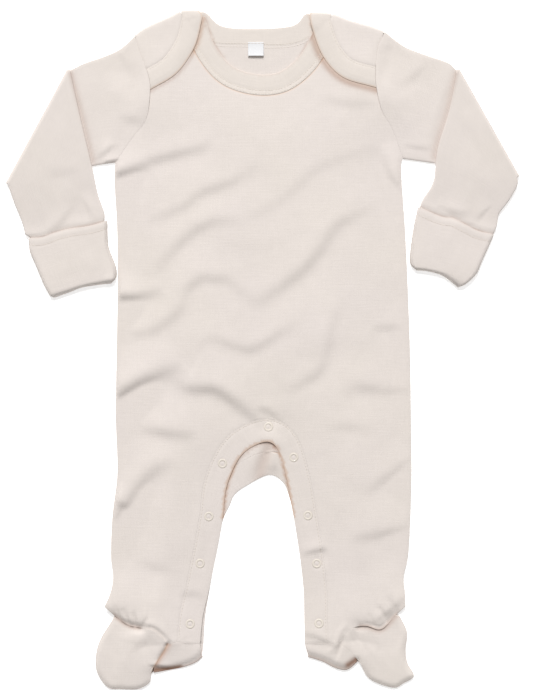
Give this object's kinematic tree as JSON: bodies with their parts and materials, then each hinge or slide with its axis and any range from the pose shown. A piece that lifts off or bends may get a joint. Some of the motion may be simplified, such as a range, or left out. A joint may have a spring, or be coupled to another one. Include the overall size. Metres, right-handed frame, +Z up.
{
  "type": "footed baby sleepsuit",
  "caption": "Plain cotton baby sleepsuit with an envelope neck, long sleeves with fold-over mitts, a poppered crotch and closed feet, laid flat with its front up.",
  "frame": {"origin": "middle of the bounding box of the underside, on the surface that the suit lies on", "axes": "+X to the right as the suit is seen from the front, +Y from the feet to the neck, +Z up through the cloth"},
  "size_m": [0.4613, 0.6115, 0.0079],
  "materials": {
    "cotton": "natural unbleached cotton interlock, soft and matt",
    "cotton_band": "the same interlock, doubled and stitched flat",
    "label": "white woven label, bare",
    "popper": "cream enamelled ring, satin"
  },
  "bodies": {
    "root": {"back_panel": "cotton", "front_panel": "cotton", "sleeve_left": "cotton", "sleeve_right": "cotton", "mitt_left": "cotton", "mitt_right": "cotton", "foot_upper_left": "cotton", "foot_upper_right": "cotton", "sole_left": "cotton", "sole_right": "cotton", "neck_band_back": "cotton_band", "neck_band_front": "cotton_band", "placket_front": "cotton_band", "placket_back": "cotton_band", "neck_label": "label", "popper_1": "popper", "popper_2": "popper", "popper_3": "popper", "popper_4": "popper", "popper_5": "popper", "popper_6": "popper", "popper_7": "popper", "popper_8": "popper", "popper_9": "popper"}
  },
  "joints": []
}
